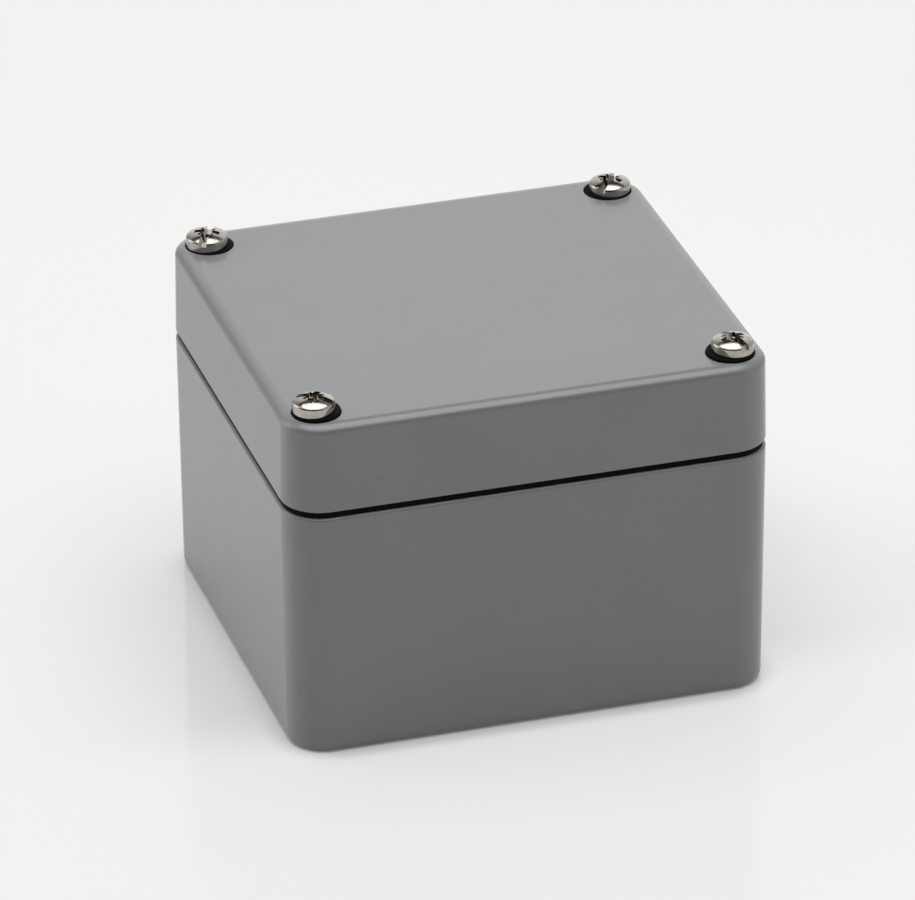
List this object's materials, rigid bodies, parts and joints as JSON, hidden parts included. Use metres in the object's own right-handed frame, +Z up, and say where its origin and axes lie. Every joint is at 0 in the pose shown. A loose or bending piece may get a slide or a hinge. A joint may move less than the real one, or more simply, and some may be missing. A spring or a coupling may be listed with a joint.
{
  "type": "die cast aluminium box",
  "caption": "Small sealed die cast aluminium enclosure with a lift-off lid, a rubber gasket, captive corner screws, wall mounting holes and an inside earth terminal.",
  "frame": {"origin": "middle of the base's underside, on the surface that the box stands on", "axes": "+Z up, +X along the longer side to the right as seen from the front, +Y towards the back, where the earth terminal is"},
  "size_m": [0.08, 0.075, 0.0609],
  "materials": {
    "painted_casting": "silver grey textured powder coat on die cast aluminium",
    "black_rubber": "matt black moulded rubber",
    "stainless_steel": "bright cold headed stainless steel",
    "natural_nylon": "natural off white nylon",
    "brass_plate": "turned brass"
  },
  "bodies": {
    "base": {"box_base": "painted_casting"},
    "lid": {"box_lid": "painted_casting", "lid_gasket": "black_rubber", "screw_washer_front_left": "black_rubber", "screw_washer_front_right": "black_rubber", "screw_washer_back_left": "black_rubber", "screw_washer_back_right": "black_rubber"},
    "earth_washers": {"earth_clamp_plate": "brass_plate", "earth_spring_washer": "stainless_steel"},
    "earth_screw": {"earth_screw": "stainless_steel"},
    "retainer_front_left": {"screw_retainer_front_left": "natural_nylon"},
    "screw_front_left": {"lid_screw_front_left": "stainless_steel"},
    "retainer_front_right": {"screw_retainer_front_right": "natural_nylon"},
    "screw_front_right": {"lid_screw_front_right": "stainless_steel"},
    "retainer_back_left": {"screw_retainer_back_left": "natural_nylon"},
    "screw_back_left": {"lid_screw_back_left": "stainless_steel"},
    "retainer_back_right": {"screw_retainer_back_right": "natural_nylon"},
    "screw_back_right": {"lid_screw_back_right": "stainless_steel"}
  },
  "joints": [
    {"name": "lid_lift", "type": "slide", "parent": "base", "child": "lid", "axis": [0, 0, 1], "range_m": [0, 0.06]},
    {"name": "earth_screw_rise", "type": "slide", "parent": "base", "child": "earth_washers", "axis": [0, 0, 1], "range_m": [0, 0.0028]},
    {"name": "earth_screw_turn", "type": "hinge", "parent": "earth_washers", "child": "earth_screw", "pos_m": [0, 0.0278, 0.0099], "axis": [0, 0, 1], "range_deg": [0, 1441]},
    {"name": "screw_front_left_rise", "type": "slide", "parent": "lid", "child": "retainer_front_left", "axis": [0, 0, 1], "range_m": [0, 0.0063]},
    {"name": "screw_front_left_turn", "type": "hinge", "parent": "retainer_front_left", "child": "screw_front_left", "pos_m": [-0.03445, -0.0315, 0.0582], "axis": [0, 0, 1], "range_deg": [0, 3241]},
    {"name": "screw_front_right_rise", "type": "slide", "parent": "lid", "child": "retainer_front_right", "axis": [0, 0, 1], "range_m": [0, 0.0063]},
    {"name": "screw_front_right_turn", "type": "hinge", "parent": "retainer_front_right", "child": "screw_front_right", "pos_m": [0.03445, -0.0315, 0.0582], "axis": [0, 0, 1], "range_deg": [0, 3241]},
    {"name": "screw_back_left_rise", "type": "slide", "parent": "lid", "child": "retainer_back_left", "axis": [0, 0, 1], "range_m": [0, 0.0063]},
    {"name": "screw_back_left_turn", "type": "hinge", "parent": "retainer_back_left", "child": "screw_back_left", "pos_m": [-0.03445, 0.0315, 0.0582], "axis": [0, 0, 1], "range_deg": [0, 3241]},
    {"name": "screw_back_right_rise", "type": "slide", "parent": "lid", "child": "retainer_back_right", "axis": [0, 0, 1], "range_m": [0, 0.0063]},
    {"name": "screw_back_right_turn", "type": "hinge", "parent": "retainer_back_right", "child": "screw_back_right", "pos_m": [0.03445, 0.0315, 0.0582], "axis": [0, 0, 1], "range_deg": [0, 3241]}
  ],
  "couplings": [
    {"joint": "earth_screw_turn", "follows": "earth_screw_rise", "rad_per_m": 8976},
    {"joint": "screw_front_left_turn", "follows": "screw_front_left_rise", "rad_per_m": 8976},
    {"joint": "screw_front_right_turn", "follows": "screw_front_right_rise", "rad_per_m": 8976},
    {"joint": "screw_back_left_turn", "follows": "screw_back_left_rise", "rad_per_m": 8976},
    {"joint": "screw_back_right_turn", "follows": "screw_back_right_rise", "rad_per_m": 8976}
  ]
}
